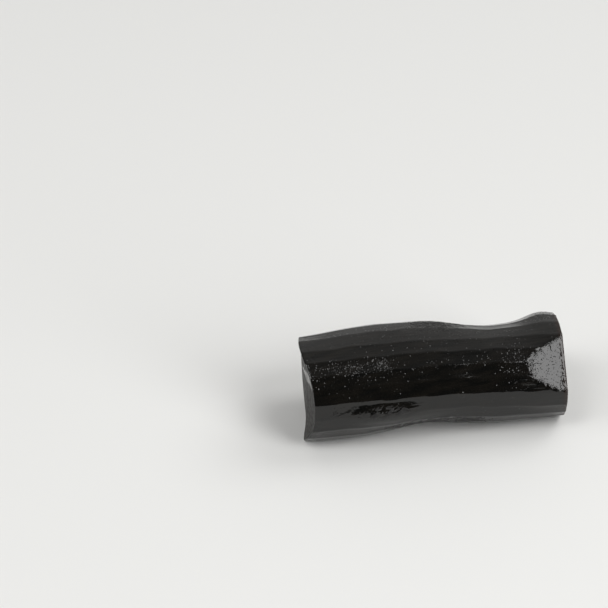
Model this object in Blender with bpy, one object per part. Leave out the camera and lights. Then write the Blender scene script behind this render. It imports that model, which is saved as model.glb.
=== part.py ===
"""A black licorice bite: a short length of soft ridged licorice rope, cut at both ends.

The bite lies on the flat side that the belt gave it, with its length along X and its front towards -Y.
Angles round the rope are in degrees: 0 faces the front, 90 faces up, 180 the back and 270 down.
"""

import math
import random

import bmesh
import bpy
from mathutils import Matrix, Vector, noise

MM = 0.001

# The rope, as it leaves the die and settles on the belt
BITE_LENGTH = 39.0 * MM
ROPE_RADIUS = 7.80 * MM
BELT_SIDE_DEPTH = 6.95 * MM
BELT_EDGE_ROLL = 0.35 * MM
DIE_RIDGES = 21
FIRST_RIDGE = 20.5
RIDGE_JITTER = 1.5
RIDGE_SEED = 6
FLUTE_DEPTH = 0.10 * MM
FLUTE_POWER = 2.2
RIDGE_ROLL = -8.0
FRONT_ROLL = -6.0
FRONT_ROLL_SIDE = 10.0
FRONT_ROLL_SPREAD = 30.0
ROLL_START = 0.42
ROLL_GROWTH = 1.5

# Where the soft rope has swelled or been pressed: the place along it, the side, and how far this reaches
PRESSURES = (
    {"place": 0.27, "reach": 0.24, "side": 135.0, "spread": 48.0, "height": 1.20 * MM},
    {"place": 0.50, "reach": 0.12, "side": 138.0, "spread": 34.0, "height": 0.52 * MM},
    {"place": 0.75, "reach": 0.13, "side": 135.0, "spread": 48.0, "height": -0.66 * MM},
    {"place": 0.45, "reach": 0.15, "side": 308.0, "spread": 36.0, "height": -0.95 * MM},
    {"place": 0.12, "reach": 0.22, "side": 308.0, "spread": 40.0, "height": 0.30 * MM},
    {"place": 0.80, "reach": 0.16, "side": 308.0, "spread": 40.0, "height": 0.22 * MM},
    {"place": 0.60, "reach": 0.22, "side": 215.0, "spread": 40.0, "height": 0.35 * MM},
)

# Where a flat blade or a thumb has pressed the skin in by a cut, as a plane that leans in towards it
RIGHT_PRESS = {"side": 43.0, "depth": 1.41 * MM, "reach": 6.3 * MM, "softness": 0.07 * MM}
LEFT_PRESS = {"side": 62.0, "depth": 0.16 * MM, "reach": 0.75 * MM, "softness": 0.05 * MM}
LEAST_FACING = 0.05

# The right-hand cut's upper back is spread out
FLARE_SIDE = 135.0
FLARE_SPREAD = 34.0
FLARE_HEIGHT = 0.75 * MM
FLARE_PLACE = 2.2 * MM
FLARE_REACH = 2.6 * MM

# The left-hand cut is dragged out into two lips, along the top and at the foot
LIPS = (
    {"side": 98.0, "spread": 44.0, "length": 1.30 * MM},
    {"side": 308.0, "spread": 36.0, "length": 1.35 * MM},
)
LIP_REACH = 5.0 * MM

# Both cuts
SHOULDER = 0.40 * MM
BURR_HEIGHT = 0.09 * MM
BURR_PLACE = 0.75 * MM
BURR_WIDTH = 0.40 * MM
CUT_DOME = 0.35 * MM
SKIN_UNEVENNESS = 0.07 * MM
UNEVENNESS_SIZE = 4.5 * MM

# How finely the solid follows the shape
COLUMNS_PER_FLUTE = 4
END_STATIONS = (0.12, 0.40, 0.75, 1.15, 1.8, 2.8, 4.2)
MIDDLE_STATIONS = 18
CUT_RINGS = (0.96, 0.80, 0.45)
CRISP_RIDGE_ANGLE = 12.0

LICORICE_COLOUR = (0.010, 0.0075, 0.0065, 1.0)
LICORICE_ROUGHNESS = 0.22


def lobe(distance, spread):
    """A smooth bump: 1 where distance is nothing, falling away over the spread."""
    return math.exp(-((distance / spread) ** 2))


def turn_between(angle, other):
    """The turn from one angle to another, from -180 to 180 degrees."""
    return (angle - other + 180.0) % 360.0 - 180.0


def ridge_angles():
    """The angles of the ridges that the die leaves, a little uneven, in rising order."""
    draw = random.Random(RIDGE_SEED)
    pitch = 360.0 / DIE_RIDGES
    return [
        FIRST_RIDGE + k * pitch + draw.uniform(-RIDGE_JITTER, RIDGE_JITTER)
        for k in range(DIE_RIDGES)
    ]


def flute_columns():
    """For each column of the mesh: its angle, and how deep in its flute it lies, from 0 on a ridge to 1."""
    ridges = ridge_angles()
    columns = []
    for k, start in enumerate(ridges):
        following = ridges[(k + 1) % DIE_RIDGES]
        width = (following - start) % 360.0
        for step in range(COLUMNS_PER_FLUTE):
            share = step / COLUMNS_PER_FLUTE
            depth = 1.0 - abs(2.0 * share - 1.0) ** FLUTE_POWER
            columns.append((start + share * width, depth))
    return columns


def ridge_roll(u, angle):
    """How far a ridge has rolled round the rope, in degrees, where the knife dragged it down."""
    past = max(0.0, u - ROLL_START) / (1.0 - ROLL_START)
    front = lobe(turn_between(angle, FRONT_ROLL_SIDE), FRONT_ROLL_SPREAD)
    return (RIDGE_ROLL + FRONT_ROLL * front) * past**ROLL_GROWTH


def pressed_height(u, angle):
    """How far the skin stands out of the plain round rope, or into it."""
    return sum(
        push["height"]
        * lobe(u - push["place"], push["reach"])
        * lobe(turn_between(angle, push["side"]), push["spread"])
        for push in PRESSURES
    )


def shoulder_drop(from_cut):
    """How far the skin has turned in towards a cut, on a quarter round."""
    if from_cut >= SHOULDER:
        return 0.0
    rise = 1.0 - from_cut / SHOULDER
    return SHOULDER * (1.0 - math.sqrt(max(0.0, 1.0 - rise * rise)))


def pressed_in(radius, from_cut, press, angle):
    """How far the skin is taken in by a pressed plane; the two meet in a soft edge."""
    facing = math.cos(math.radians(turn_between(angle, press["side"])))
    depth = press["depth"] * (1.0 - from_cut / press["reach"])
    over = radius - (ROPE_RADIUS - depth) / max(facing, LEAST_FACING)
    return press["softness"] * math.log1p(math.exp(over / press["softness"]))


def rope_radius(u, angle, flute):
    """The distance from the rope's middle line to its skin, before the knife."""
    from_right = (1.0 - u) * BITE_LENGTH
    radius = ROPE_RADIUS - FLUTE_DEPTH * flute + pressed_height(u, angle)
    flare = lobe(turn_between(angle, FLARE_SIDE), FLARE_SPREAD)
    radius += FLARE_HEIGHT * flare * lobe(from_right - FLARE_PLACE, FLARE_REACH)
    turn = math.radians(angle)
    place = Vector((u * BITE_LENGTH, radius * math.cos(turn), radius * math.sin(turn)))
    return radius + SKIN_UNEVENNESS * noise.noise(place / UNEVENNESS_SIZE)


def cut_radius(u, angle, flute):
    """The distance from the rope's middle line to its skin, once pressed and cut."""
    from_left = u * BITE_LENGTH
    from_right = (1.0 - u) * BITE_LENGTH
    from_cut = min(from_left, from_right)
    plain = rope_radius(u, angle, flute)
    radius = plain - pressed_in(plain, from_right, RIGHT_PRESS, angle)
    radius -= pressed_in(plain, from_left, LEFT_PRESS, angle)
    radius += BURR_HEIGHT * lobe(from_cut - BURR_PLACE, BURR_WIDTH)
    return radius - shoulder_drop(from_cut)


def rolled_off(height, floor, roll):
    """The height, but not below the floor: the two meet in a soft roll."""
    apart = abs(height - floor)
    blend = max(0.0, roll - apart) / roll
    return max(height, floor) + blend * blend * roll / 4.0


def skin_point(u, angle, flute, share):
    """The front-to-back and upward place of a point on the skin, or at a share of the way out to it."""
    rolled = angle + ridge_roll(u, angle)
    radius = cut_radius(u, rolled, flute)
    turn = math.radians(rolled)
    back = -radius * math.cos(turn) * share
    height = rolled_off(radius * math.sin(turn), -BELT_SIDE_DEPTH, BELT_EDGE_ROLL)
    return back, height * share + BELT_SIDE_DEPTH


def lip_length(angle):
    """How far the left-hand cut's edge stands out beyond the cut."""
    return sum(
        lip["length"] * lobe(turn_between(angle, lip["side"]), lip["spread"])
        for lip in LIPS
    )


def along_point(u, angle, share):
    """The place along the rope: the skin is drawn out into the lips, and the cuts are gently domed."""
    from_left = u * BITE_LENGTH
    drawn = max(0.0, 1.0 - from_left / LIP_REACH) ** 2
    place = from_left - BITE_LENGTH / 2.0
    place -= lip_length(angle) * drawn * share**3
    dome = CUT_DOME * (1.0 - share * share)
    return place + (dome if u > 0.5 else -dome)


def stations():
    """Where rings of the mesh lie along the rope, from 0 to 1, closer together by the cuts."""
    ends = [d * MM / BITE_LENGTH for d in END_STATIONS]
    first, last = ends[-1], 1.0 - ends[-1]
    step = (last - first) / MIDDLE_STATIONS
    middle = [first + k * step for k in range(1, MIDDLE_STATIONS)]
    return ends + middle + [1.0 - u for u in reversed(ends)]


def ringed_cylinder(columns):
    """A cylinder of radius 1 from x = 0 to x = 1, with rings round its side and on its two ends."""
    bm = bmesh.new()
    lay_down = Matrix.Translation((0.5, 0.0, 0.0)) @ Matrix.Rotation(math.pi / 2.0, 4, "Y")
    bmesh.ops.create_cone(
        bm,
        cap_ends=True,
        segments=columns,
        radius1=1.0,
        radius2=1.0,
        depth=1.0,
        matrix=lay_down,
    )
    for u in stations():
        bmesh.ops.bisect_plane(
            bm,
            geom=bm.verts[:] + bm.edges[:] + bm.faces[:],
            plane_co=(u, 0.0, 0.0),
            plane_no=(1.0, 0.0, 0.0),
        )
    for cap in [face for face in bm.faces if len(face.verts) == columns]:
        outer = 1.0
        for ring in CUT_RINGS:
            bmesh.ops.inset_region(bm, faces=[cap], thickness=outer - ring)
            outer = ring
        bmesh.ops.poke(bm, faces=[cap])
    return bm


def licorice_material():
    """Soft black licorice under a thin glaze of oil."""
    material = bpy.data.materials.new("black_licorice")
    material.use_nodes = True
    surface = material.node_tree.nodes["Principled BSDF"]
    surface.inputs["Base Color"].default_value = LICORICE_COLOUR
    surface.inputs["Roughness"].default_value = LICORICE_ROUGHNESS
    surface.inputs["Metallic"].default_value = 0.0
    material.diffuse_color = LICORICE_COLOUR
    return material


def centre_over_origin(bm):
    """Moves the bite so that the origin lies in the middle under it."""
    corners = [
        [pick(vert.co[axis] for vert in bm.verts) for axis in range(3)]
        for pick in (min, max)
    ]
    middle = [(low + high) / 2.0 for low, high in zip(*corners)]
    bmesh.ops.translate(bm, verts=bm.verts[:], vec=(-middle[0], -middle[1], -corners[0][2]))


def licorice_bite():
    """The bite, as one closed solid."""
    flutes = flute_columns()
    bm = ringed_cylinder(len(flutes))
    first_angle = min(math.degrees(math.atan2(v.co.z, -v.co.y)) % 360.0 for v in bm.verts)
    for vert in bm.verts:
        u = min(1.0, max(0.0, vert.co.x))
        share = min(1.0, math.hypot(vert.co.y, vert.co.z))
        turn = math.degrees(math.atan2(vert.co.z, -vert.co.y)) - first_angle
        angle, flute = flutes[round(turn / 360.0 * len(flutes)) % len(flutes)]
        back, up = skin_point(u, angle, flute, share)
        vert.co = (along_point(u, angle, share), back, up)
    centre_over_origin(bm)
    bmesh.ops.recalc_face_normals(bm, faces=bm.faces[:])
    mesh = bpy.data.meshes.new("licorice_bite")
    bm.to_mesh(mesh)
    bm.free()
    mesh.materials.append(licorice_material())
    mesh.shade_smooth()
    mesh.set_sharp_from_angle(angle=math.radians(CRISP_RIDGE_ANGLE))
    return bpy.data.objects.new("licorice_bite", mesh)


def main():
    for old in list(bpy.data.objects):
        bpy.data.objects.remove(old)
    collection = bpy.data.collections.new("black_licorice_bite")
    bpy.context.scene.collection.children.link(collection)
    collection.objects.link(licorice_bite())


main()
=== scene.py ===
import math
import random

import bpy
import numpy as np
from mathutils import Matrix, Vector, noise


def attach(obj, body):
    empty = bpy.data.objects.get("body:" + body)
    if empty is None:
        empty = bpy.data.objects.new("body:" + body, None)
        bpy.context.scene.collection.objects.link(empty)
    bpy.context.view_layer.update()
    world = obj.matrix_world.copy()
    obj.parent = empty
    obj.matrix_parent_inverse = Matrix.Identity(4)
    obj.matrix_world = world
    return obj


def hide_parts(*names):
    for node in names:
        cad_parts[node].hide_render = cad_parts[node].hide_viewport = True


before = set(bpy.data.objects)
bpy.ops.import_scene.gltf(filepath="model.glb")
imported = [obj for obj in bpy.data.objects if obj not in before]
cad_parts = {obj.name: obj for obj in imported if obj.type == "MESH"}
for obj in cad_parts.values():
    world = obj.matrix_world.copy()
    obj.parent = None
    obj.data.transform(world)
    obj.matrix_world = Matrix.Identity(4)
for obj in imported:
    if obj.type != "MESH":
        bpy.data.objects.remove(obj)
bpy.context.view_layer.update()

mm = 0.001


def addNode(tree, kind, links=None, **settings):
    # links holds a number, a socket or a node for each input that isn't left as it is
    node = tree.nodes.new(kind)
    for name, value in settings.items():
        setattr(node, name, value)
    for socket, value in (links or {}).items():
        if isinstance(value, bpy.types.Node):
            value = next(out for out in value.outputs if out.enabled)
        if isinstance(value, bpy.types.NodeSocket):
            tree.links.new(value, node.inputs[socket])
        else:
            node.inputs[socket].default_value = value
    return node


def maths(tree, operation, *values):
    return addNode(tree, "ShaderNodeMath", dict(enumerate(values)), operation=operation)


def vectors(tree, operation, *values):
    return addNode(tree, "ShaderNodeVectorMath", dict(enumerate(values)), operation=operation)


def scaled(tree, vector, size):
    return addNode(tree, "ShaderNodeVectorMath", {0: vector, "Scale": size}, operation="SCALE")


def ranged(tree, value, low, high, start=0.0, end=1.0):
    # from start to end while the value goes from low to high
    return addNode(tree, "ShaderNodeMapRange", {
        "Value": value, "From Min": low, "From Max": high, "To Min": start, "To Max": end,
    })


def eased(tree, value, low, high):
    return addNode(tree, "ShaderNodeMapRange", {
        "Value": value, "From Min": low, "From Max": high,
    }, interpolation_type="SMOOTHSTEP")


def plainNoise(tree, place, scale, detail):
    return addNode(tree, "ShaderNodeTexNoise", {"Vector": place, "Scale": scale, "Detail": detail})


def seededNoise(tree, place, seed, scale, detail, distortion=0.0):
    return addNode(tree, "ShaderNodeTexNoise", {
        "Vector": place, "W": seed, "Scale": scale, "Detail": detail, "Distortion": distortion,
    }, noise_dimensions="4D")


def seededCells(tree, place, seed, spacing):
    # how far each place is from the middle of its cell, in the unit of the spacing
    scale = maths(tree, "DIVIDE", 1.0, spacing)
    cells = addNode(tree, "ShaderNodeTexVoronoi", {
        "Vector": place, "W": seed, "Scale": scale,
    }, voronoi_dimensions="4D")
    return maths(tree, "MULTIPLY", cells.outputs["Distance"], spacing)


def stretched(tree, place, sizes):
    # sizes in mm, which become 1
    return addNode(tree, "ShaderNodeMapping", {
        "Vector": place, "Scale": [size * mm for size in sizes],
    }, vector_type="TEXTURE")


def mixed(tree, share, one, other):
    return addNode(tree, "ShaderNodeMix", {0: share, 2: one, 3: other}, data_type="FLOAT")


def mixedColour(tree, share, one, other):
    return addNode(tree, "ShaderNodeMix", {0: share, 6: one, 7: other}, data_type="RGBA").outputs[2]


def skinValue(tree, name):
    return addNode(tree, "ShaderNodeAttribute", attribute_name=name).outputs["Fac"]


def pointValue(tree, name):
    found = addNode(tree, "GeometryNodeInputNamedAttribute", {"Name": name}, data_type="FLOAT")
    return found.outputs["Attribute"]


def linearColour(hexCode):
    # sRGB hex to linear, with full alpha
    parts = [int(hexCode[k:k + 2], 16) / 255.0 for k in (1, 3, 5)]
    turned = [c / 12.92 if c <= 0.04045 else ((c + 0.055) / 1.055) ** 2.4 for c in parts]
    return (*turned, 1.0)


def newTree(name, inputs):
    # a Geometry Nodes tree with named inputs; geometry goes in and comes out
    tree = bpy.data.node_groups.new(name, "GeometryNodeTree")
    face = tree.interface
    face.new_socket("Geometry", in_out="INPUT", socket_type="NodeSocketGeometry")
    face.new_socket("Geometry", in_out="OUTPUT", socket_type="NodeSocketGeometry")
    for label, value in inputs.items():
        kind = "NodeSocketInt" if isinstance(value, int) else "NodeSocketFloat"
        face.new_socket(label, in_out="INPUT", socket_type=kind)
    return tree


def runTree(tree, values, piece, name):
    # sets the modifier's inputs by identifier, then keeps the result as a plain mesh
    modifier = piece.modifiers.new(name, "NODES")
    modifier.node_group = tree
    for item in tree.interface.items_tree:
        if item.in_out == "INPUT" and item.name in values:
            modifier[item.identifier] = values[item.name]
    seen = piece.evaluated_get(bpy.context.evaluated_depsgraph_get())
    mesh = bpy.data.meshes.new_from_object(seen)
    piece.modifiers.remove(modifier)
    piece.data = mesh
    return mesh


def lobe(distance, spread):
    return np.exp(-((distance / spread) ** 2))


def turnBetween(angle, other):
    return (angle - other + 180.0) % 360.0 - 180.0


# The strips in which skin that stuck tore off, as relief and as a duller finish. Sizes in mm.
crags = {
    "size": 0.60,
    "drawn": (0.4, 1.0, 1.0),  # longer along the rope
    "slant": 25.0,             # degrees
    "detail": 2.0,
    "roughness": 0.6,
    "distortion": 0.8,
    "seed": 11.0,
}
noiseMiddle = 0.5


def cragNoise(tree, place, unit):
    # around 0, for a place whose unit has that many millimetres
    slanted = addNode(tree, "ShaderNodeVectorRotate", {
        "Vector": place, "Angle": math.radians(crags["slant"]),
    }, rotation_type="Y_AXIS")
    drawnOut = vectors(tree, "MULTIPLY", slanted, crags["drawn"])
    strips = addNode(tree, "ShaderNodeTexNoise", {
        "Vector": drawnOut,
        "W": crags["seed"],
        "Scale": unit / crags["size"],
        "Detail": crags["detail"],
        "Roughness": crags["roughness"],
        "Distortion": crags["distortion"],
    }, noise_dimensions="4D")
    return maths(tree, "SUBTRACT", strips.outputs[0], noiseMiddle)


# Liquorice skin: wheat and molasses dough pushed hot through a die, glazed with oil when cool.
# To the eye: brown-black, with soft gloss that breaks into pin sparkles where the skin is rough.
skinLook = {
    "colour": "#090908",
    "browner": "#12100d",
    "edge": "#24160f",         # at the rim of the right cut
    "ior": 1.49,
    "roughness": (0.09, 0.14),  # where the skin is smooth and where it is rough or browner
    "mottleSize": (6.0, 0.8, 0.8),  # mm along and across, where the skin is browner
    "mottleTurn": 12.0,        # degrees
    "mottleOver": (0.36, 0.64),  # of the noise
    "mottleDull": 0.5,         # how far it dulls the glaze, as a share of what the rough skin does
    "streakSize": (9.0, 0.35, 0.35),  # mm along and across, the die's drag lines
    "streakBump": 0.020,       # mm
    "grain": 0.24,             # mm, coarser than the real grain of flour, so that it shows
    "grainBump": 0.022,        # mm, where the skin is rough
    "smoothShare": 0.20,       # of that grain, where the skin is smooth
    "flatGrain": 0.30,         # of that grain, where the skin is pressed flat
    "facet": 0.12,             # mm, the facets of the rough skin, as fine as can show
    "facetLean": 0.30,         # how far they lean, as a share of the normal
    "speckLean": 0.75,         # and how far those lean that lean more
    "speckShare": (0.003, 0.36),  # of the facets, where the skin is smooth and where it is rough
    "pressedShare": 0.08,      # of the facets, where the skin is pressed flat
    "crack": 4.2,              # mm between hairline cracks in the pressed skin
    "crackWidth": 0.06,        # mm
    "crackBump": 0.045,        # mm
    "crackOver": (0.46, 0.60),  # of the noise, so that some are left out
    "tornColour": "#0b0908",   # where skin stuck and tore off, dry and dull
    "tornRoughness": 0.50,
    "tornCover": 0.42,         # how much of a torn spot is torn
    "tornContrast": 2.4,       # how strongly its strips show
    "tornOver": (0.26, 0.40),
    "tornLean": 0.40,          # how far its facets lean, as a share of the normal
    "tornGrain": 1.5,          # its grain, as a share of that of the rough skin
    "detail": {"mottle": 4.0, "streaks": 2.0, "grain": 3.0, "crack": 3.0},
}


def liquoriceSkin(look):
    material = bpy.data.materials.new("glazed extruded liquorice skin")
    material.use_nodes = True
    tree = material.node_tree
    tree.nodes.clear()
    detail = look["detail"]
    place = addNode(tree, "ShaderNodeTexCoord").outputs["Object"]
    rough = skinValue(tree, "rough")
    edge = skinValue(tree, "edge")
    pressed = skinValue(tree, "pressed")

    mottlePlace = addNode(tree, "ShaderNodeMapping", {
        "Vector": place,
        "Rotation": (0.0, 0.0, math.radians(look["mottleTurn"])),
        "Scale": [size * mm for size in look["mottleSize"]],
    }, vector_type="TEXTURE")
    mottleNoise = plainNoise(tree, mottlePlace, 1.0, detail["mottle"])
    mottle = ranged(tree, mottleNoise.outputs["Fac"], *look["mottleOver"])
    drawn = stretched(tree, place, look["streakSize"])
    streaks = plainNoise(tree, drawn, 1.0, detail["streaks"])
    grain = plainNoise(tree, place, 1.0 / (look["grain"] * mm), detail["grain"])

    # hairline cracks, bent by noise, in parts of the pressed skin
    bend = plainNoise(tree, place, 1.0 / (look["crack"] * mm), detail["crack"])
    bendHere = scaled(tree, bend.outputs["Color"], look["crack"] * mm)
    bent = vectors(tree, "ADD", place, bendHere)
    cracks = addNode(tree, "ShaderNodeTexVoronoi", {
        "Vector": bent, "Scale": 1.0 / (look["crack"] * mm),
    }, feature="DISTANCE_TO_EDGE")
    crackWidth = look["crackWidth"] / look["crack"]
    crackShape = ranged(tree, cracks.outputs["Distance"], 0.0, crackWidth, -1.0, 0.0)
    crackPart = ranged(tree, bend.outputs["Fac"], *look["crackOver"])
    crackSome = maths(tree, "MULTIPLY", crackPart, pressed)
    crackHere = maths(tree, "MULTIPLY", crackShape, crackSome)

    grainRough = maths(tree, "ADD", rough, look["smoothShare"])
    grainSkin = maths(tree, "MULTIPLY_ADD", pressed, look["flatGrain"], grainRough)
    cragAside = cragNoise(tree, place, 1.0 / mm)
    strips = maths(tree, "MULTIPLY_ADD", cragAside, look["tornContrast"], look["tornCover"])
    tornHere = maths(tree, "MULTIPLY", strips, skinValue(tree, "torn"))
    torn = eased(tree, tornHere, *look["tornOver"])
    grainShare = maths(tree, "MULTIPLY_ADD", torn, look["tornGrain"], grainSkin)
    grainHere = maths(tree, "MULTIPLY", grain.outputs["Fac"], grainShare)

    bump = None
    marks = (
        (streaks.outputs["Fac"], look["streakBump"] * mm),
        (grainHere, look["grainBump"] * mm),
        (crackHere, look["crackBump"] * mm),
    )
    for height, size in marks:
        links = {"Height": height, "Distance": size, "Strength": 1.0}
        if bump:
            links["Normal"] = bump
        bump = addNode(tree, "ShaderNodeBump", links)

    # each facet leans its own way, and some lean more: many where the skin is rough, and few elsewhere
    facets = addNode(tree, "ShaderNodeTexVoronoi", {
        "Vector": place, "Scale": 1.0 / (look["facet"] * mm),
    })
    draw = addNode(tree, "ShaderNodeTexWhiteNoise", {"Vector": facets.outputs["Position"]})
    roughShare = ranged(tree, rough, 0.0, 1.0, *look["speckShare"])
    limit = maths(tree, "MULTIPLY_ADD", pressed, look["pressedShare"], roughShare)
    more = maths(tree, "LESS_THAN", draw.outputs["Value"], limit)
    leanMore = maths(tree, "MULTIPLY", more, look["speckLean"])
    leanTorn = maths(tree, "MULTIPLY_ADD", torn, look["tornLean"], leanMore)
    leanRough = maths(tree, "MULTIPLY_ADD", rough, look["facetLean"], leanTorn)
    way = vectors(tree, "SUBTRACT", facets.outputs["Color"], [noiseMiddle] * 3)
    lean = scaled(tree, way, leanRough)
    leaned = vectors(tree, "ADD", bump, lean)
    facing = vectors(tree, "NORMALIZE", leaned)

    mottled = maths(tree, "MULTIPLY_ADD", mottle, look["mottleDull"], rough)
    glazed = ranged(tree, mottled, 0.0, 1.0, *look["roughness"])
    colour, browner = linearColour(look["colour"]), linearColour(look["browner"])
    base = mixedColour(tree, mottle, colour, browner)
    dried = mixedColour(tree, torn, base, linearColour(look["tornColour"]))
    surface = addNode(tree, "ShaderNodeBsdfPrincipled", {
        "Base Color": mixedColour(tree, edge, dried, linearColour(look["edge"])),
        "Roughness": mixed(tree, torn, glazed, look["tornRoughness"]),
        "Normal": facing,
        "IOR": look["ior"],
    })
    addNode(tree, "ShaderNodeOutputMaterial", {"Surface": surface})
    return material


# Cut liquorice: the dense inside, laid open by a blade. To the eye: grey satin, flat and finely grained.
cutLook = {
    "colours": ("#141312", "#252320"),
    "ior": 1.45,
    "specular": 0.32,
    "roughness": (0.38, 0.62),
    "smeared": 0.13,           # roughness where the knife dragged the skin over the cut
    "grain": 0.5,              # mm
    "grainBump": 0.025,        # mm
    "grainOver": (0.3, 0.7),   # of the noise
    "patch": (1.1, 1.1, 5.0),  # mm across and down, where the knife drew the cut lighter
    "patchOver": (0.34, 0.66),  # of the noise
    "detail": 4.0,
}


def cutLiquorice(look):
    material = bpy.data.materials.new("knife-cut liquorice")
    material.use_nodes = True
    tree = material.node_tree
    tree.nodes.clear()
    place = addNode(tree, "ShaderNodeTexCoord").outputs["Object"]
    grain = plainNoise(tree, place, 1.0 / (look["grain"] * mm), look["detail"]).outputs["Fac"]
    bump = addNode(tree, "ShaderNodeBump", {"Height": grain, "Distance": look["grainBump"] * mm})
    plain = ranged(tree, grain, *look["grainOver"], *look["roughness"])
    patches = plainNoise(tree, stretched(tree, place, look["patch"]), 1.0, look["detail"])
    lighter = ranged(tree, patches.outputs["Fac"], *look["patchOver"])
    darkTone, lightTone = [linearColour(tone) for tone in look["colours"]]
    surface = addNode(tree, "ShaderNodeBsdfPrincipled", {
        "Base Color": mixedColour(tree, lighter, darkTone, lightTone),
        "Roughness": mixed(tree, skinValue(tree, "smeared"), plain, look["smeared"]),
        "Normal": bump,
        "IOR": look["ior"],
        "Specular IOR Level": look["specular"],
    })
    addNode(tree, "ShaderNodeOutputMaterial", {"Surface": surface})
    return material


skinMaterial = liquoriceSkin(skinLook)
cutMaterial = cutLiquorice(cutLook)
print("materials made")

# The rope as the die leaves it: straight, ridged all round, cut square. Sizes in mm.
dieRope = {
    "Length": 39.0,
    "Radius": 7.80,
    "Columns": 252,
    "Rings": 272,
    "Cut Rings": 38,
    "Ridges": 21,
    "Flute Depth": 0.10,
    "Flute Power": 2.2,
    "Finer Ends": 0.50,
    "Finer Rims": 1.6,
    "Waver": 0.17,             # how far a ridge strays sideways, at noise of a quarter
    "Waver Gain": 4.0,
    "Waver Length": 3.4,
    "Waver Across": 0.45,      # per mm
    "Drag Depth": 0.022,       # the lines that the die drags along the rope
    "Drag Width": 0.55,
    "Drag Length": 11.0,
    "Seed": 4,
}


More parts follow.
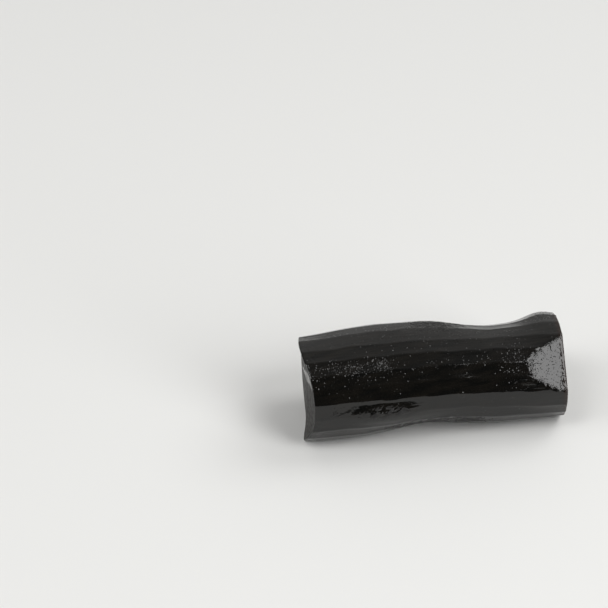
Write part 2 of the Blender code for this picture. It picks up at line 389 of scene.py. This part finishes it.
def ridgedRopeTree(inputs):
    tree = newTree("ridged rope", inputs)
    given = addNode(tree, "NodeGroupInput").outputs
    cylinder = addNode(tree, "GeometryNodeMeshCylinder", {
        "Vertices": given["Columns"],
        "Side Segments": given["Rings"],
        "Fill Segments": given["Cut Rings"],
        "Radius": 1.0,
        "Depth": 1.0,
    }, fill_type="TRIANGLE_FAN")
    place = addNode(tree, "GeometryNodeInputPosition")
    parts = addNode(tree, "ShaderNodeSeparateXYZ", {0: place})
    flat = addNode(tree, "ShaderNodeCombineXYZ", {"X": parts.outputs["X"], "Y": parts.outputs["Y"]})
    plainOutward = vectors(tree, "LENGTH", flat).outputs["Value"]

    # across the cut faces: rings lie closer together by the rim
    plainInward = maths(tree, "SUBTRACT", 1.0, plainOutward)
    plainInward.use_clamp = True
    inward = maths(tree, "POWER", plainInward, given["Finer Rims"])
    outward = maths(tree, "SUBTRACT", 1.0, inward).outputs["Value"]

    # along the rope: rings lie closer together by the cuts
    plainAlong = maths(tree, "ADD", parts.outputs["Z"], 0.5)
    wave = maths(tree, "MULTIPLY", plainAlong, math.tau)
    sine = maths(tree, "SINE", wave)
    finer = maths(tree, "MULTIPLY", given["Finer Ends"], -1.0 / math.tau)
    along = maths(tree, "MULTIPLY_ADD", sine, finer, plainAlong)
    fromMiddle = maths(tree, "SUBTRACT", along, 0.5)
    x = maths(tree, "MULTIPLY", fromMiddle, given["Length"])

    # the flutes between the ridges
    angle = maths(tree, "ARCTAN2", parts.outputs["Y"], parts.outputs["X"])
    turns = maths(tree, "MULTIPLY", angle, 1.0 / math.tau)
    phase = maths(tree, "MULTIPLY", turns, given["Ridges"])
    share = maths(tree, "FRACT", phase)
    aside = maths(tree, "MULTIPLY_ADD", share, 2.0, -1.0)
    toRidge = maths(tree, "ABSOLUTE", aside)
    crest = maths(tree, "POWER", toRidge, given["Flute Power"])
    hollow = maths(tree, "SUBTRACT", 1.0, crest)
    fluted = maths(tree, "MULTIPLY", hollow, given["Flute Depth"])

    # drag lines and wavering ridges, from noise on the rope's round skin so that no seam shows
    skinPlace = scaled(tree, flat, given["Radius"])
    acrossDrag = maths(tree, "DIVIDE", 1.0, given["Drag Width"])
    dragFlat = scaled(tree, skinPlace, acrossDrag)
    alongDrag = maths(tree, "DIVIDE", x, given["Drag Length"])
    dragAway = addNode(tree, "ShaderNodeCombineXYZ", {"Z": alongDrag})
    dragPlace = vectors(tree, "ADD", dragFlat, dragAway)
    dragNoise = seededNoise(tree, dragPlace, given["Seed"], 1.0, 1.0)
    dragged = maths(tree, "MULTIPLY", dragNoise.outputs[0], given["Drag Depth"])
    shrunk = scaled(tree, skinPlace, given["Waver Across"])
    alongWaver = maths(tree, "DIVIDE", x, given["Waver Length"])
    waverAway = addNode(tree, "ShaderNodeCombineXYZ", {"Z": alongWaver})
    waverPlace = vectors(tree, "ADD", shrunk, waverAway)
    waverNoise = seededNoise(tree, waverPlace, given["Seed"], 1.0, 0.0)
    strayed = maths(tree, "SUBTRACT", waverNoise.outputs[0], noiseMiddle)
    strayWidth = maths(tree, "MULTIPLY", strayed, given["Waver"])
    strayTurn = maths(tree, "DIVIDE", strayWidth, given["Radius"])
    strayAll = maths(tree, "MULTIPLY", strayTurn, given["Waver Gain"])
    newAngle = maths(tree, "ADD", angle, strayAll)

    sunk = maths(tree, "ADD", fluted, dragged)
    skinRadius = maths(tree, "SUBTRACT", given["Radius"], sunk)
    radius = maths(tree, "MULTIPLY", skinRadius, outward)
    cosine = maths(tree, "COSINE", newAngle)
    sineUp = maths(tree, "SINE", newAngle)
    forward = maths(tree, "MULTIPLY", cosine, radius)
    back = maths(tree, "MULTIPLY", forward, -1.0)
    up = maths(tree, "MULTIPLY", sineUp, radius)
    target = addNode(tree, "ShaderNodeCombineXYZ", {"X": x, "Y": back, "Z": up})

    withOutward = addNode(tree, "GeometryNodeStoreNamedAttribute", {
        "Geometry": cylinder.outputs["Mesh"], "Name": "outward", "Value": outward,
    }, data_type="FLOAT", domain="POINT")
    withCrest = addNode(tree, "GeometryNodeStoreNamedAttribute", {
        "Geometry": withOutward, "Name": "crest", "Value": crest,
    }, data_type="FLOAT", domain="POINT")
    placed = addNode(tree, "GeometryNodeSetPosition", {"Geometry": withCrest, "Position": target})
    outside = addNode(tree, "GeometryNodeFlipFaces", {"Mesh": placed})
    realized = addNode(tree, "GeometryNodeRealizeInstances", {"Geometry": outside})
    dressed = addNode(tree, "GeometryNodeSetMaterial", {"Geometry": realized, "Material": skinMaterial})
    addNode(tree, "NodeGroupOutput", {0: dressed})
    return tree


bite = bpy.data.objects.new("ridgedBite", bpy.data.meshes.new("ridgedBite"))
bpy.context.scene.collection.objects.link(bite)
ropeMesh = runTree(ridgedRopeTree(dieRope), dieRope, bite, "ridged rope")
print("rope drawn:", len(ropeMesh.polygons), "faces")

# How the soft rope settled on the belt and what the knife did to it. Sizes in mm, angles in degrees:
# 0 faces the front, 90 up, 180 the back, 270 down. Places along the rope run from 0 at the left cut to 1.
settled = {
    "firstRidge": 20.5,
    "ridgeJitter": 1.5,
    "ridgeSeed": 6,
    "beltSideDepth": 6.95,
    "beltEdgeRoll": 0.35,
    "ridgeRoll": -8.0,         # the ridges wind towards the right cut, most at the front
    "frontRoll": {"turn": -6.0, "side": 10.0, "spread": 30.0},
    "rollStart": 0.42,
    "rollGrowth": 1.5,
    "pressures": (
        {"place": 0.27, "reach": 0.24, "side": 135.0, "spread": 48.0, "height": 1.20},
        {"place": 0.50, "reach": 0.12, "side": 138.0, "spread": 34.0, "height": 0.52},
        {"place": 0.75, "reach": 0.13, "side": 135.0, "spread": 48.0, "height": -0.66},
        {"place": 0.45, "reach": 0.15, "side": 308.0, "spread": 36.0, "height": -0.95},
        {"place": 0.12, "reach": 0.22, "side": 308.0, "spread": 40.0, "height": 0.30},
        {"place": 0.80, "reach": 0.16, "side": 308.0, "spread": 40.0, "height": 0.22},
        {"place": 0.60, "reach": 0.22, "side": 215.0, "spread": 40.0, "height": 0.35},
        # the lifted skin over the dent at the lower left, finer than the solid
        {"place": 0.28, "reach": 0.145, "side": 0.5, "spread": 14.5, "height": 0.60},
        {"place": 0.28, "reach": 0.13, "side": 18.0, "spread": 6.0, "height": -0.10},
    ),
    # where flour grains roughen the skin and it sparkles
    "roughSpots": (
        {"place": 0.15, "reach": 0.13, "side": 60.5, "spread": 8.0, "share": 0.70},
        {"place": 0.27, "reach": 0.05, "side": 61.0, "spread": 8.0, "share": 0.95},
        {"place": 0.20, "reach": 0.20, "side": 54.0, "spread": 13.0, "share": 0.14},
        {"place": 0.60, "reach": 0.30, "side": 59.0, "spread": 13.0, "share": 0.13},
        {"place": 0.80, "reach": 0.05, "side": 54.0, "spread": 24.0, "share": 0.45},
        {"place": 0.265, "reach": 0.13, "side": 7.0, "spread": 9.0, "share": 0.12},
        {"place": 0.50, "reach": 0.18, "side": 325.0, "spread": 12.0, "share": 1.0},
        {"place": 0.97, "reach": 0.08, "side": 122.0, "spread": 18.0, "share": 0.75},
        {"place": 0.55, "reach": 0.50, "side": 102.0, "spread": 26.0, "share": 0.16},
    ),
    # where skin stuck and tore off
    "tornSpots": (
        {"place": 0.48, "reach": 0.20, "side": 331.0, "spread": 13.0, "share": 1.8},
        {"place": 0.51, "reach": 0.11, "side": 114.0, "spread": 13.0, "share": 1.5},
        {"place": 0.93, "reach": 0.07, "side": 120.0, "spread": 20.0, "share": 0.4},
        {"place": 0.26, "reach": 0.15, "side": 7.0, "spread": 9.0, "share": 0.95},
        {"place": 0.10, "reach": 0.08, "side": 9.0, "spread": 8.0, "share": 0.60},
        {"place": 0.66, "reach": 0.16, "side": 11.0, "spread": 6.0, "share": 0.45},
    ),
    "pressRight": {"side": 43.0, "depth": 1.41, "reach": 6.3, "softness": 0.07},
    "pressLeft": {"side": 62.0, "depth": 0.16, "reach": 0.75, "softness": 0.05},
    "leastFacing": 0.05,
    "flatFrom": 0.12,          # how deep the skin is pressed where it counts as flat
    "scuffs": {"width": 0.12, "share": 0.8, "start": -0.2},  # round the flat, starting in widths
    "ragged": {"size": 0.6, "height": 0.12, "reach": 0.12},
    "nick": {"side": 43.0, "spread": 1.3, "place": 4.2, "reach": 1.2, "depth": 0.05},
    # a wedge from the point at y and z, its border in degrees
    "smear": {"y": 6.2, "z": 6.2, "turn": 29.3, "spread": 6.0, "size": 0.9, "ragged": 2.5, "fade": 2.0},
    "flare": {"side": 135.0, "spread": 34.0, "height": 0.75, "place": 2.2, "reach": 2.6},
    "lips": (
        {"side": 98.0, "spread": 44.0, "length": 1.30},
        {"side": 308.0, "spread": 36.0, "length": 1.35},
    ),
    "lipReach": 5.0,
    "lipPower": 3,             # how soon the lips fade towards the middle of the cut
    "shoulder": 0.14,
    "burrs": (
        {"end": 0.0, "place": 0.6, "width": 0.35, "side": 300.0, "spread": 60.0, "height": 0.03},
        {"end": 1.0, "place": 0.31, "width": 0.29, "side": 50.0, "spread": 70.0, "height": 0.052},
    ),
    "tintReach": 0.9,          # how far the browner edge goes
    "cutDome": 0.35,
    "sitsForward": 0.16,       # the lifted skin stands out at the front, the rest stays on the solid
    "unevenness": 0.07,
    "unevennessSize": 4.5,
}


def unevenAngles(angle):
    # shifts evenly spaced ridges to where the worn die really leaves them
    draw = random.Random(settled["ridgeSeed"])
    ridges = dieRope["Ridges"]
    pitch = 360.0 / ridges
    shifts = [draw.uniform(-settled["ridgeJitter"], settled["ridgeJitter"]) for _ in range(ridges)]
    shifts.append(shifts[0])
    steps = (angle % 360.0) / pitch
    return settled["firstRidge"] + angle + np.interp(steps, range(ridges + 1), shifts)


def spotted(spots, along, rolled):
    # the strongest of the spots that reach each place
    strongest = np.zeros(len(along))
    for spot in spots:
        side = lobe(turnBetween(rolled, spot["side"]), spot["spread"])
        strongest = np.maximum(strongest, spot["share"] * lobe(along - spot["place"], spot["reach"]) * side)
    return strongest


def overPlane(radius, fromCut, press, angle):
    # how far the skin stands over a plane that leans in towards the cut
    facing = np.cos(np.radians(turnBetween(angle, press["side"])))
    depth = press["depth"] * (1.0 - fromCut / press["reach"])
    return radius - (dieRope["Radius"] - depth) / np.maximum(facing, settled["leastFacing"])


def pressIn(over, press):
    # down to the plane, with a soft border
    return press["softness"] * np.logaddexp(0.0, over / press["softness"])


def unevenly(places):
    return np.array([noise.noise(Vector(place)) for place in places])


def settleRope(mesh):
    s = settled
    count = len(mesh.vertices)
    flatPlaces = np.empty(count * 3)
    mesh.vertices.foreach_get("co", flatPlaces)
    x, y, z = flatPlaces.reshape(-1, 3).T
    outward = np.empty(count)
    mesh.attributes["outward"].data.foreach_get("value", outward)

    along = x / dieRope["Length"] + 0.5
    fromLeft = along * dieRope["Length"]
    fromRight = dieRope["Length"] - fromLeft
    fromCut = np.minimum(fromLeft, fromRight)
    angle = unevenAngles(np.degrees(np.arctan2(z, -y)))
    past = np.clip(along - s["rollStart"], 0.0, 1.0) / (1.0 - s["rollStart"])
    front = s["frontRoll"]
    roll = s["ridgeRoll"] + front["turn"] * lobe(turnBetween(angle, front["side"]), front["spread"])
    rolled = angle + roll * past ** s["rollGrowth"]

    change = np.zeros(count)
    for push in s["pressures"]:
        side = lobe(turnBetween(rolled, push["side"]), push["spread"])
        change += push["height"] * lobe(along - push["place"], push["reach"]) * side
    flare = s["flare"]
    flareSide = lobe(turnBetween(rolled, flare["side"]), flare["spread"])
    change += flare["height"] * flareSide * lobe(fromRight - flare["place"], flare["reach"])

    drawn = np.hypot(y, z) / np.maximum(outward, 1e-6)
    radius = np.where(outward > 0.0, drawn, dieRope["Radius"]) + change
    turn = np.radians(rolled)
    places = np.stack([fromLeft, radius * np.cos(turn), radius * np.sin(turn)], axis=1) / s["unevennessSize"]
    radius += s["unevenness"] * unevenly(places)
    # the skin round the press is scuffed, so that the flat's border is ragged
    ragged = s["ragged"]
    scuffed = lobe(overPlane(radius, fromRight, s["pressRight"], rolled), ragged["reach"])
    places *= s["unevennessSize"] / ragged["size"]
    radius += ragged["height"] * scuffed * unevenly(places)
    pressedIn = pressIn(overPlane(radius, fromRight, s["pressRight"], rolled), s["pressRight"])
    pressedLeft = pressIn(overPlane(radius, fromLeft, s["pressLeft"], rolled), s["pressLeft"])
    rise = np.clip(1.0 - fromCut / s["shoulder"], 0.0, 1.0)
    rounded = s["shoulder"] * (1.0 - np.sqrt(np.clip(1.0 - rise * rise, 0.0, 1.0)))
    radius -= pressedIn + pressedLeft + rounded
    nick = s["nick"]
    nickSide = lobe(turnBetween(rolled, nick["side"]), nick["spread"])
    radius -= nick["depth"] * nickSide * lobe(fromRight - nick["place"], nick["reach"])
    for burr in s["burrs"]:
        side = lobe(turnBetween(rolled, burr["side"]), burr["spread"])
        fromEnd = np.abs(along - burr["end"]) * dieRope["Length"]
        radius += burr["height"] * side * lobe(fromEnd - burr["place"], burr["width"])
    back = -radius * np.cos(turn) * outward
    height = radius * np.sin(turn)
    blend = np.clip(1.0 - np.abs(height + s["beltSideDepth"]) / s["beltEdgeRoll"], 0.0, 1.0)
    height = np.maximum(height, -s["beltSideDepth"]) + blend * blend * s["beltEdgeRoll"] / 4.0
    height = height * outward + s["beltSideDepth"]

    drawnOut = np.clip(1.0 - fromLeft / s["lipReach"], 0.0, 1.0) ** 2
    lip = sum(one["length"] * lobe(turnBetween(angle, one["side"]), one["spread"]) for one in s["lips"])
    dome = s["cutDome"] * (1.0 - outward * outward)
    drawnHere = lip * drawnOut * outward ** s["lipPower"]
    placeAlong = fromLeft - drawnHere + np.where(along > 0.5, dome, -dome)

    moved = np.stack([placeAlong, back, height], axis=1)
    low, high = moved.min(axis=0), moved.max(axis=0)
    moved -= ((low[0] + high[0]) / 2.0, (low[1] + high[1]) / 2.0 + s["sitsForward"], low[2])
    mesh.vertices.foreach_set("co", (moved * mm).ravel())

    inFlat = np.clip(pressedIn / s["flatFrom"], 0.0, 1.0)
    scuffs = s["scuffs"]
    toBorder = (pressedIn - s["pressRight"]["softness"]) / scuffs["width"]
    scuffedHere = scuffs["share"] * lobe(toBorder, 1.0) * np.where(toBorder > scuffs["start"], 1.0, 0.0)
    # the knife dragged some skin over the left cut face
    smear = s["smear"]
    fanned = np.degrees(np.arctan2(moved[:, 2] - smear["z"], smear["y"] - moved[:, 1]))
    strayed = smear["ragged"] * unevenly(moved / smear["size"])
    smeared = smear["spread"] - np.abs(fanned - smear["turn"]) + strayed
    found = {
        "smeared": np.where(along < 0.5, np.clip(smeared / smear["fade"], 0.0, 1.0), 0.0),
        "around": rolled % 360.0,
        "fromCut": fromCut,
        "edge": np.clip(1.0 - fromRight / s["tintReach"], 0.0, 1.0),
        "rough": np.maximum(spotted(s["roughSpots"], along, rolled) * (1.0 - inFlat), scuffedHere),
        "torn": spotted(s["tornSpots"], along, rolled),
        "pressed": inFlat,
    }
    for name, values in found.items():
        mesh.attributes.new(name, "FLOAT", "POINT").data.foreach_set("value", values)
    mesh.update()


settleRope(ropeMesh)
print("rope settled and cut")

# What marks the skin after the die: crags where it tore, chips along the ridges, blisters, creases by
# the cuts and the belt's weave. The cut faces have pits, drag lines and a bowed ridge. Sizes in mm.
skinMarks = {
    "Blister Spacing": 1.3,
    "Blister Size": 0.42,
    "Blister Height": 0.035,
    "Crag Height": 0.28,
    "Chip Height": 0.03,
    "Crease Size": 1.5,
    "Crease Width": 0.035,     # of the noise, off its middle
    "Crease Depth": 0.03,
    "Crease Reach": 3.0,
    "Crease Full": 0.6,
    "Weave Pitch": 1.0,
    "Weave Row": 2.8,
    "Weave Depth": 0.10,
    "Weave Side": 262.0,       # degrees, the middle of the belt side
    "Weave Spread": 33.0,
    "Weave Full": 20.0,
    "Pit Spacing": 2.6,
    "Pit Size": 0.55,
    "Pit Floor": 0.1,
    "Pit Depth": 0.20,
    "Knife Drag": 0.09,
    "Knife Bow": 16.0,
    "Knife Ridge": 0.05,
    "Knife Slope": 0.9,
    "Knife Step": -0.35,
    "Seed": 11,
}
# where the marks start and are full, how fine their noise is, and where the bowed ridge runs
markShapes = {
    "skin": (0.985, 1.0),      # of the way from the middle of a cut to its rim
    "cut": (0.97, 0.90),
    "rim": 0.998,
    "ripple": (-0.6, 1.0),     # of the wave
    "row": (0.1, 0.6),
    "creaseDetail": 2.0,
    "creaseBend": 0.4,
    "knifeLines": (1.6, 1.6, 0.22),  # per mm
    "knifeDetail": 3.0,
    "bowAside": -1.5,          # mm, where the bowed ridge crosses the cut's middle
    "bowHeight": 4.0,
}


def skinMarksTree(inputs):
    tree = newTree("skin marks", inputs)
    given = addNode(tree, "NodeGroupInput").outputs
    metres = addNode(tree, "GeometryNodeInputPosition")
    place = scaled(tree, metres, 1.0 / mm)
    around = pointValue(tree, "around")
    fromCut = pointValue(tree, "fromCut")
    outward = pointValue(tree, "outward")
    onSkin = eased(tree, outward, *markShapes["skin"])
    onCut = eased(tree, outward, *markShapes["cut"])

    # crags where the skin tore and dried, and chips along the ridges
    cragAside = cragNoise(tree, place, 1.0)
    cragHere = maths(tree, "MULTIPLY", cragAside, pointValue(tree, "torn"))
    cragRise = maths(tree, "MULTIPLY", cragHere, given["Crag Height"])
    chipHere = maths(tree, "MULTIPLY", cragAside, pointValue(tree, "crest"))
    chips = maths(tree, "MULTIPLY_ADD", chipHere, given["Chip Height"], cragRise)

    # blisters
    blisterFar = seededCells(tree, place, given["Seed"], given["Blister Spacing"])
    blisterShape = eased(tree, blisterFar, given["Blister Size"], 0.0)
    blisterHere = maths(tree, "MULTIPLY", blisterShape, pointValue(tree, "rough"))
    blisters = maths(tree, "MULTIPLY", blisterHere, given["Blister Height"])

    # creases in the skin near the cuts, where the knife squeezed it
    creaseScale = maths(tree, "DIVIDE", 1.0, given["Crease Size"])
    creaseNoise = seededNoise(
        tree, place, given["Seed"], creaseScale, markShapes["creaseDetail"], markShapes["creaseBend"])
    creaseAside = maths(tree, "SUBTRACT", creaseNoise.outputs[0], noiseMiddle)
    creaseFar = maths(tree, "ABSOLUTE", creaseAside)
    creaseShape = eased(tree, creaseFar, given["Crease Width"], 0.0)
    creaseNear = eased(tree, fromCut, given["Crease Reach"], given["Crease Full"])
    creaseHere = maths(tree, "MULTIPLY", creaseShape, creaseNear)
    creases = maths(tree, "MULTIPLY", creaseHere, given["Crease Depth"])

    # the belt's weave: short ripples in staggered rows, pressed into the belt side
    parts = addNode(tree, "ShaderNodeSeparateXYZ", {0: place})
    rowShare = maths(tree, "DIVIDE", parts.outputs["Y"], given["Weave Row"])
    row = maths(tree, "FLOOR", rowShare)
    inRow = maths(tree, "FRACT", rowShare)
    halfTurn = maths(tree, "MULTIPLY", row, 0.5)
    pitchShare = maths(tree, "DIVIDE", parts.outputs["X"], given["Weave Pitch"])
    weavePhase = maths(tree, "ADD", pitchShare, halfTurn)
    weaveTurn = maths(tree, "MULTIPLY", weavePhase, math.tau)
    ripple = maths(tree, "COSINE", weaveTurn)
    rippleUp = eased(tree, ripple, *markShapes["ripple"])
    rowWave = maths(tree, "MULTIPLY", inRow, math.pi)
    rowRise = maths(tree, "SINE", rowWave)
    rowShape = eased(tree, rowRise, *markShapes["row"])
    weaveAside = maths(tree, "SUBTRACT", around, given["Weave Side"])
    weaveFar = maths(tree, "ABSOLUTE", weaveAside)
    weaveNear = eased(tree, weaveFar, given["Weave Spread"], given["Weave Full"])
    weaveRow = maths(tree, "MULTIPLY", rippleUp, rowShape)
    weaveHere = maths(tree, "MULTIPLY", weaveRow, weaveNear)
    weave = maths(tree, "MULTIPLY", weaveHere, given["Weave Depth"])

    # pits and faint drag lines in the cut faces
    pitFar = seededCells(tree, place, given["Seed"], given["Pit Spacing"])
    pitShape = eased(tree, pitFar, given["Pit Size"], given["Pit Floor"])
    pits = maths(tree, "MULTIPLY", pitShape, given["Pit Depth"])
    knifePlace = vectors(tree, "MULTIPLY", place, markShapes["knifeLines"])
    knifeNoise = seededNoise(tree, knifePlace, given["Seed"], 1.0, markShapes["knifeDetail"])
    knifeLines = maths(tree, "MULTIPLY", knifeNoise.outputs[0], given["Knife Drag"])
    # the bowed ridge where the blade was rocked on
    bowMiddle = (0.0, skinMarks["Knife Bow"] + markShapes["bowAside"], markShapes["bowHeight"])
    bowAway = vectors(tree, "SUBTRACT", place, bowMiddle)
    bowFlat = vectors(tree, "MULTIPLY", bowAway, (0.0, 1.0, 1.0))
    bowFar = vectors(tree, "LENGTH", bowFlat).outputs["Value"]
    bowOff = maths(tree, "SUBTRACT", bowFar, given["Knife Bow"])
    bowShape = eased(tree, bowOff, given["Knife Slope"], 0.0)
    bowSide = maths(tree, "GREATER_THAN", bowOff, given["Knife Step"])
    bowHere = maths(tree, "MULTIPLY", bowShape, bowSide)
    cutRelief = maths(tree, "ADD", pits, knifeLines)
    bowUp = maths(tree, "MULTIPLY", given["Knife Ridge"], -1.0)
    cutSunk = maths(tree, "MULTIPLY_ADD", bowHere, bowUp, cutRelief)
    cutHere = maths(tree, "MULTIPLY", cutSunk, onCut)

    lifted = maths(tree, "ADD", blisters, chips)
    raised = maths(tree, "SUBTRACT", lifted, creases)
    raisedLess = maths(tree, "SUBTRACT", raised, weave)
    skinHeight = maths(tree, "MULTIPLY", raisedLess, onSkin)
    height = maths(tree, "SUBTRACT", skinHeight, cutHere)
    heightMetres = maths(tree, "MULTIPLY", height, mm)
    normal = addNode(tree, "GeometryNodeInputNormal")
    offset = scaled(tree, normal, heightMetres)

    placed = addNode(tree, "GeometryNodeSetPosition", {"Geometry": given["Geometry"], "Offset": offset})
    realized = addNode(tree, "GeometryNodeRealizeInstances", {"Geometry": placed})
    skinned = addNode(tree, "GeometryNodeSetMaterial", {"Geometry": realized, "Material": skinMaterial})
    isCut = addNode(tree, "FunctionNodeCompare", {
        0: outward, 1: markShapes["rim"],
    }, data_type="FLOAT", operation="LESS_THAN")
    dressed = addNode(tree, "GeometryNodeSetMaterial", {
        "Geometry": skinned, "Selection": isCut, "Material": cutMaterial,
    })
    addNode(tree, "NodeGroupOutput", {0: dressed})
    return tree


biteMesh = runTree(skinMarksTree(skinMarks), skinMarks, bite, "skin marks")
biteMesh.shade_smooth()
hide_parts("licorice_bite")
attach(bite, "root")
print("bite finished:", len(biteMesh.polygons), "faces")

# The stage: a pale floor under soft light
stage = {
    "floorSize": 4.0,          # m
    "floorColour": "#e8e8e6",
    "floorRoughness": 0.9,
    "floorSpecular": 0.1,
    "backdrop": "#f0f0ef",
    "skyColour": (1.0, 0.99, 0.975, 1.0),
    "skyAxisTilt": 153.0,      # degrees from the front horizon over the top, to the brightest place
    "skyAxisTurn": 22.0,       # degrees to the right
    "skyStrength": 0.60,
    "skyPower": 1.5,
    "roomStrength": 0.04,
}


def makeFloor():
    half = stage["floorSize"] / 2.0
    mesh = bpy.data.meshes.new("paleFloor")
    corners = [(-half, -half, 0.0), (half, -half, 0.0), (half, half, 0.0), (-half, half, 0.0)]
    mesh.from_pydata(corners, [], [(0, 1, 2, 3)])
    floor = bpy.data.objects.new("paleFloor", mesh)
    bpy.context.scene.collection.objects.link(floor)
    material = bpy.data.materials.new("matt white board")
    material.use_nodes = True
    surface = material.node_tree.nodes["Principled BSDF"]
    surface.inputs["Base Color"].default_value = linearColour(stage["floorColour"])
    surface.inputs["Roughness"].default_value = stage["floorRoughness"]
    surface.inputs["Specular IOR Level"].default_value = stage["floorSpecular"]
    mesh.materials.append(material)


def makeSky():
    # a dim room in front of the bite and a wide overhead diffuser towards the back; seen as a plain backdrop
    world = bpy.data.worlds.new("studio")
    bpy.context.scene.world = world
    world.use_nodes = True
    tree = world.node_tree
    tree.nodes.clear()
    tilt = math.radians(stage["skyAxisTilt"])
    turn = math.radians(stage["skyAxisTurn"])
    axis = (-math.cos(tilt) * math.sin(turn), -math.cos(tilt) * math.cos(turn), math.sin(tilt))
    direction = addNode(tree, "ShaderNodeTexCoord").outputs["Generated"]
    facing = vectors(tree, "DOT_PRODUCT", direction, axis).outputs["Value"]
    above = maths(tree, "MAXIMUM", facing, 0.0)
    glow = maths(tree, "POWER", above, stage["skyPower"])
    strength = maths(tree, "MULTIPLY_ADD", glow, stage["skyStrength"], stage["roomStrength"])
    light = addNode(tree, "ShaderNodeBackground", {"Color": stage["skyColour"], "Strength": strength})
    backdrop = linearColour(stage["backdrop"])
    plain = addNode(tree, "ShaderNodeBackground", {"Color": backdrop, "Strength": 1.0})
    seen = addNode(tree, "ShaderNodeLightPath").outputs["Is Camera Ray"]
    either = addNode(tree, "ShaderNodeMixShader", {0: seen, 1: light, 2: plain})
    addNode(tree, "ShaderNodeOutputWorld", {"Surface": either})


def towards(azimuth, elevation):
    # azimuth 0 is the front and 90 the right-hand side
    a, e = math.radians(azimuth), math.radians(elevation)
    return Vector((math.sin(a) * math.cos(e), -math.cos(a) * math.cos(e), math.sin(e)))


# "from" is azimuth and elevation in degrees and distance in m, "size" is width and height in m
softLights = (
    {"name": "tall softbox", "from": (45.5, 35.0, 0.70), "size": (0.29, 0.74), "watts": 3.6},
    {"name": "front left softbox", "from": (-58.0, 64.0, 0.75), "size": (0.25, 0.25), "watts": 0.9},
    {"name": "left softbox", "from": (-82.0, 28.0, 0.90), "size": (0.44, 0.44), "watts": 2.8},
    {"name": "right softbox", "from": (112.0, 48.0, 0.90), "size": (0.50, 0.50), "watts": 2.0},
)


def makeLights():
    for spec in softLights:
        lamp = bpy.data.lights.new(spec["name"], "AREA")
        lamp.shape = "RECTANGLE"
        lamp.size, lamp.size_y = spec["size"]
        lamp.energy = spec["watts"]
        holder = bpy.data.objects.new(spec["name"], lamp)
        bpy.context.scene.collection.objects.link(holder)
        azimuth, elevation, distance = spec["from"]
        direction = towards(azimuth, elevation)
        holder.location = direction * distance
        holder.rotation_euler = direction.to_track_quat("Z", "Y").to_euler()


shot = {
    "azimuth": -8.1,           # degrees
    "elevation": 40.9,
    "distance": 0.60,          # m
    "pixelsPerMm": 6.5,        # at the bite
    "frame": 608,              # pixels
    "aim": (0.00050, -0.00027, 0.0070),  # m
    "aimPixel": (434.0, 377.0),
    "sensor": 36.0,            # mm
    "clip": (0.01, 20.0),      # m
}


def makeCamera():
    data = bpy.data.cameras.new("camera")
    camera = bpy.data.objects.new("camera", data)
    bpy.context.scene.collection.objects.link(camera)
    focal = shot["pixelsPerMm"] / mm * shot["distance"]  # in pixels
    data.sensor_width = shot["sensor"]
    data.lens = focal / shot["frame"] * shot["sensor"]
    data.clip_start, data.clip_end = shot["clip"]
    back = towards(shot["azimuth"], shot["elevation"])
    turned = back.to_track_quat("Z", "Y")
    right, up = turned @ Vector((1.0, 0.0, 0.0)), turned @ Vector((0.0, 1.0, 0.0))
    aside = (shot["aimPixel"][0] - shot["frame"] / 2.0) / focal * shot["distance"]
    above = (shot["frame"] / 2.0 - shot["aimPixel"][1]) / focal * shot["distance"]
    camera.location = Vector(shot["aim"]) + back * shot["distance"] - right * aside - up * above
    camera.rotation_euler = turned.to_euler()
    bpy.context.scene.camera = camera


makeFloor()
makeSky()
makeLights()
makeCamera()
bpy.context.scene.view_settings.view_transform = "Standard"
print("stage set")
